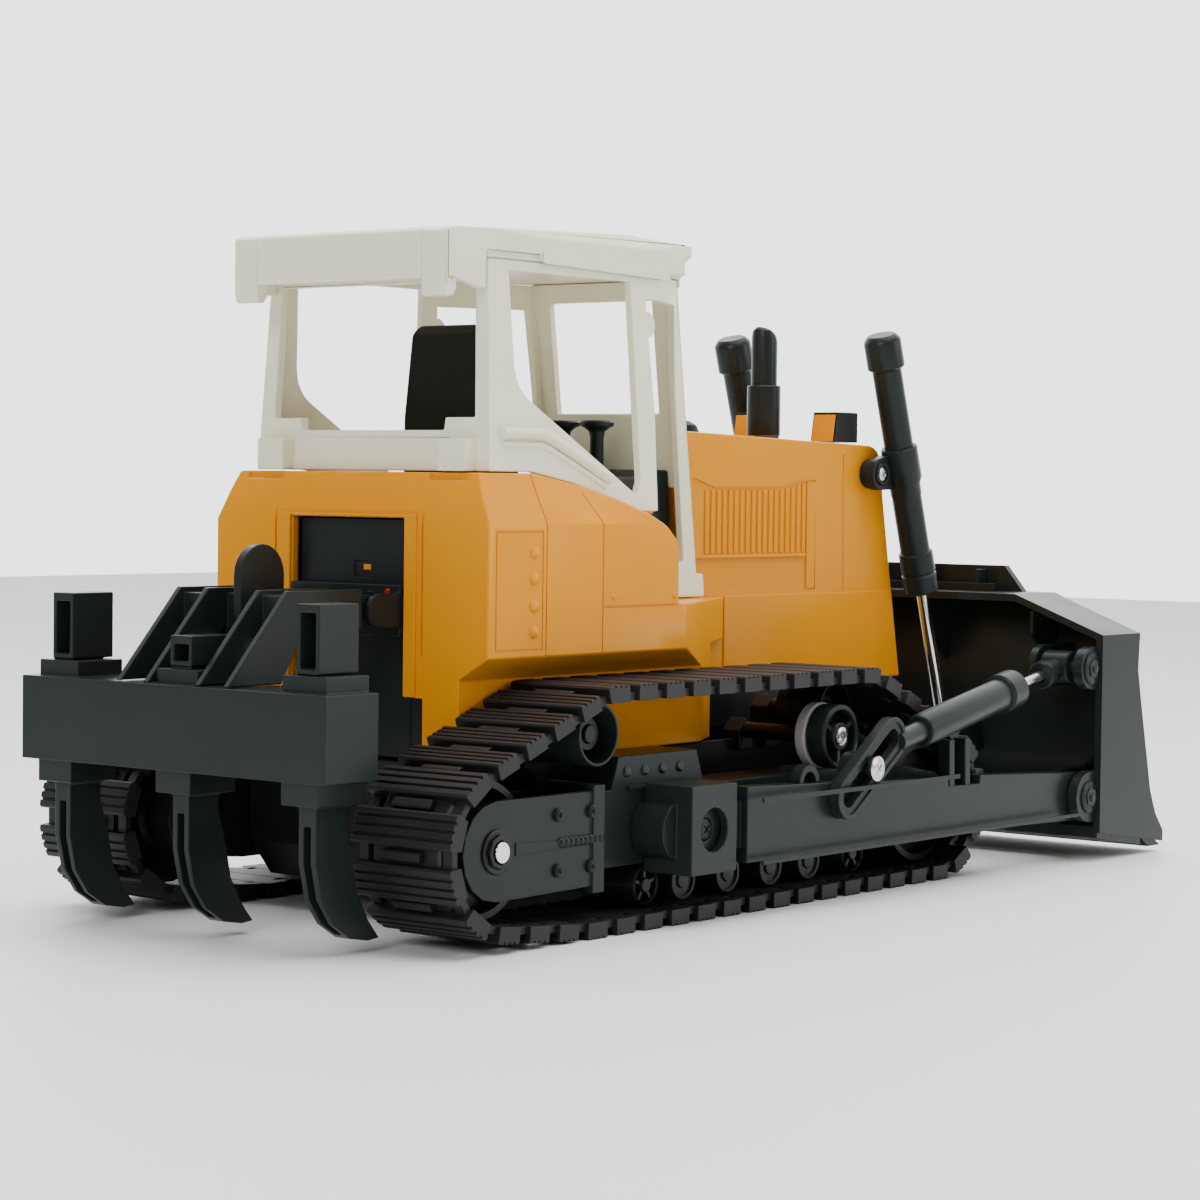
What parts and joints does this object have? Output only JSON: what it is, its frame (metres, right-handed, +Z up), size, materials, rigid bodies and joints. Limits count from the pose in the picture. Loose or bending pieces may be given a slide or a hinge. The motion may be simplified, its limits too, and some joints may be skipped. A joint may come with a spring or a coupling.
{
  "type": "toy bulldozer",
  "caption": "Crawler toy bulldozer with a lifting blade on push arms, tilt braces, open cab and a hinged rear ripper on moulded rubber tracks.",
  "frame": {"origin": "on the ground under the middle of the machine's outer box", "axes": "+X to the blade, +Y to the driver's left, +Z up"},
  "size_m": [0.3974, 0.191, 0.2049],
  "materials": {
    "yellow_plastic": "moulded plastic, satin gloss, orange yellow",
    "ivory_plastic": "moulded plastic, satin, warm ivory",
    "grey_plastic": "moulded plastic, satin, dark slate grey",
    "black_plastic": "moulded plastic, fine matt",
    "track_rubber": "moulded rubber, matt",
    "seat_plastic": "moulded plastic with a fine grain",
    "white_plastic": "moulded plastic, off-white",
    "steel": "bright plated steel",
    "circuit_board": "green solder mask",
    "battery_wrap": "blue shrink wrap"
  },
  "bodies": {
    "chassis": {"chassis_hull": "black_plastic", "body_shell": "yellow_plastic", "hood": "yellow_plastic", "exhaust_pipe": "grey_plastic", "lamp_box_left": "grey_plastic", "lamp_box_right": "grey_plastic", "hood_dome": "grey_plastic", "lift_pivot_tube": "grey_plastic", "cab_shell": "ivory_plastic", "cab_roof": "ivory_plastic", "seat": "seat_plastic", "console": "grey_plastic", "rear_panel": "grey_plastic", "ripper_mount": "grey_plastic", "battery_pack": "battery_wrap", "circuit_board": "circuit_board", "track_left": "track_rubber", "track_frame_left": "grey_plastic", "guard_plate_left": "grey_plastic", "trunnion_box_left": "grey_plastic", "gearbox_left": "black_plastic", "drive_motor_left": "steel", "track_right": "track_rubber", "track_frame_right": "grey_plastic", "guard_plate_right": "grey_plastic", "trunnion_box_right": "grey_plastic", "gearbox_right": "black_plastic", "drive_motor_right": "steel"},
    "push_frame": {"push_arm_left": "grey_plastic", "push_arm_right": "grey_plastic"},
    "blade": {"blade": "grey_plastic"},
    "ripper": {"ripper_frame": "grey_plastic", "ripper_beam": "grey_plastic", "shank_left": "grey_plastic", "shank_middle": "grey_plastic", "shank_right": "grey_plastic"},
    "brace_left": {"tilt_barrel_left": "grey_plastic", "tilt_rod_left": "steel"},
    "lift_barrel_left": {"lift_barrel_left": "grey_plastic"},
    "lift_rod_left": {"lift_rod_left": "steel"},
    "sprocket_left": {"sprocket_left": "black_plastic", "drive_axle_left": "steel"},
    "idler_left": {"idler_left": "black_plastic"},
    "carrier_rear_left": {"carrier_roller_left_rear": "grey_plastic"},
    "carrier_front_left": {"carrier_roller_left_front": "grey_plastic"},
    "road_rear_left": {"road_roller_left_rear": "black_plastic"},
    "road_front_left": {"road_roller_left_front": "black_plastic"},
    "ring_wheel_left": {"ring_wheel_left": "white_plastic"},
    "brace_right": {"tilt_barrel_right": "grey_plastic", "tilt_rod_right": "steel"},
    "lift_barrel_right": {"lift_barrel_right": "grey_plastic"},
    "lift_rod_right": {"lift_rod_right": "steel"},
    "sprocket_right": {"sprocket_right": "black_plastic", "drive_axle_right": "steel"},
    "idler_right": {"idler_right": "black_plastic"},
    "carrier_rear_right": {"carrier_roller_right_rear": "grey_plastic"},
    "carrier_front_right": {"carrier_roller_right_front": "grey_plastic"},
    "road_rear_right": {"road_roller_right_rear": "black_plastic"},
    "road_front_right": {"road_roller_right_front": "black_plastic"},
    "ring_wheel_right": {"ring_wheel_right": "white_plastic"}
  },
  "joints": [
    {"name": "blade_lift", "type": "hinge", "parent": "chassis", "child": "push_frame", "pos_m": [-0.065, 0, 0.0282], "axis": [0, -1, 0], "range_deg": [0, 11]},
    {"name": "blade_pitch", "type": "hinge", "parent": "push_frame", "child": "blade", "pos_m": [0.149, 0, 0.0227], "axis": [0, -1, 0], "range_deg": [-5, 5]},
    {"name": "ripper_lift", "type": "hinge", "parent": "chassis", "child": "ripper", "pos_m": [-0.136, 0, 0.0918], "axis": [0, 1, 0], "range_deg": [0, 25]},
    {"name": "brace_left_swing", "type": "hinge", "parent": "blade", "child": "brace_left", "pos_m": [0.1495, 0.0808, 0.0672], "axis": [0, -1, 0], "range_deg": [-4.1, 4.1]},
    {"name": "lift_left_swing", "type": "hinge", "parent": "chassis", "child": "lift_barrel_left", "pos_m": [0.1107, 0.032, 0.1334], "axis": [0, -1, 0], "range_deg": [0, 6]},
    {"name": "lift_left_slide", "type": "slide", "parent": "lift_barrel_left", "child": "lift_rod_left", "axis": [-0.3033, 0, 0.9529], "range_m": [0, 0.04]},
    {"name": "sprocket_left_spin", "type": "hinge", "parent": "chassis", "child": "sprocket_left", "pos_m": [-0.148, 0, 0.0278], "axis": [0, 1, 0], "continuous": true},
    {"name": "idler_left_spin", "type": "hinge", "parent": "chassis", "child": "idler_left", "pos_m": [0.075, 0, 0.0251], "axis": [0, 1, 0], "continuous": true},
    {"name": "carrier_rear_left_spin", "type": "hinge", "parent": "chassis", "child": "carrier_rear_left", "pos_m": [-0.101, 0, 0.0573], "axis": [0, 1, 0], "continuous": true},
    {"name": "carrier_front_left_spin", "type": "hinge", "parent": "chassis", "child": "carrier_front_left", "pos_m": [0.031, 0, 0.0573], "axis": [0, 1, 0], "continuous": true},
    {"name": "road_rear_left_spin", "type": "hinge", "parent": "chassis", "child": "road_rear_left", "pos_m": [-0.0737, 0, 0.0112], "axis": [0, 1, 0], "continuous": true},
    {"name": "road_front_left_spin", "type": "hinge", "parent": "chassis", "child": "road_front_left", "pos_m": [0.0352, 0, 0.0112], "axis": [0, 1, 0], "continuous": true},
    {"name": "ring_wheel_left_spin", "type": "hinge", "parent": "chassis", "child": "ring_wheel_left", "pos_m": [0.016, 0, 0.0504], "axis": [0, 1, 0], "continuous": true},
    {"name": "brace_right_swing", "type": "hinge", "parent": "blade", "child": "brace_right", "pos_m": [0.1495, -0.0808, 0.0672], "axis": [0, -1, 0], "range_deg": [-4.1, 4.1]},
    {"name": "lift_right_swing", "type": "hinge", "parent": "chassis", "child": "lift_barrel_right", "pos_m": [0.1107, -0.032, 0.1334], "axis": [0, -1, 0], "range_deg": [0, 6]},
    {"name": "lift_right_slide", "type": "slide", "parent": "lift_barrel_right", "child": "lift_rod_right", "axis": [-0.3033, 0, 0.9529], "range_m": [0, 0.04]},
    {"name": "sprocket_right_spin", "type": "hinge", "parent": "chassis", "child": "sprocket_right", "pos_m": [-0.148, 0, 0.0278], "axis": [0, 1, 0], "continuous": true},
    {"name": "idler_right_spin", "type": "hinge", "parent": "chassis", "child": "idler_right", "pos_m": [0.075, 0, 0.0251], "axis": [0, 1, 0], "continuous": true},
    {"name": "carrier_rear_right_spin", "type": "hinge", "parent": "chassis", "child": "carrier_rear_right", "pos_m": [-0.101, 0, 0.0573], "axis": [0, 1, 0], "continuous": true},
    {"name": "carrier_front_right_spin", "type": "hinge", "parent": "chassis", "child": "carrier_front_right", "pos_m": [0.031, 0, 0.0573], "axis": [0, 1, 0], "continuous": true},
    {"name": "road_rear_right_spin", "type": "hinge", "parent": "chassis", "child": "road_rear_right", "pos_m": [-0.0737, 0, 0.0112], "axis": [0, 1, 0], "continuous": true},
    {"name": "road_front_right_spin", "type": "hinge", "parent": "chassis", "child": "road_front_right", "pos_m": [0.0352, 0, 0.0112], "axis": [0, 1, 0], "continuous": true},
    {"name": "ring_wheel_right_spin", "type": "hinge", "parent": "chassis", "child": "ring_wheel_right", "pos_m": [0.016, 0, 0.0504], "axis": [0, 1, 0], "continuous": true}
  ],
  "couplings": [
    {"joint": "brace_left_swing", "follows": "blade_pitch", "ratio": -0.7957},
    {"joint": "lift_left_swing", "follows": "blade_lift", "ratio": 0.5403},
    {"joint": "lift_left_slide", "follows": "blade_lift", "m_per_rad": 0.20646},
    {"joint": "idler_left_spin", "follows": "sprocket_left_spin", "ratio": 0.9951},
    {"joint": "carrier_rear_left_spin", "follows": "sprocket_left_spin", "ratio": 2.1042},
    {"joint": "carrier_front_left_spin", "follows": "sprocket_left_spin", "ratio": 2.1042},
    {"joint": "road_rear_left_spin", "follows": "sprocket_left_spin", "ratio": 3.1562},
    {"joint": "road_front_left_spin", "follows": "sprocket_left_spin", "ratio": 3.1562},
    {"joint": "brace_right_swing", "follows": "blade_pitch", "ratio": -0.7957},
    {"joint": "lift_right_swing", "follows": "blade_lift", "ratio": 0.5403},
    {"joint": "lift_right_slide", "follows": "blade_lift", "m_per_rad": 0.20646},
    {"joint": "idler_right_spin", "follows": "sprocket_right_spin", "ratio": 0.9951},
    {"joint": "carrier_rear_right_spin", "follows": "sprocket_right_spin", "ratio": 2.1042},
    {"joint": "carrier_front_right_spin", "follows": "sprocket_right_spin", "ratio": 2.1042},
    {"joint": "road_rear_right_spin", "follows": "sprocket_right_spin", "ratio": 3.1562},
    {"joint": "road_front_right_spin", "follows": "sprocket_right_spin", "ratio": 3.1562}
  ]
}
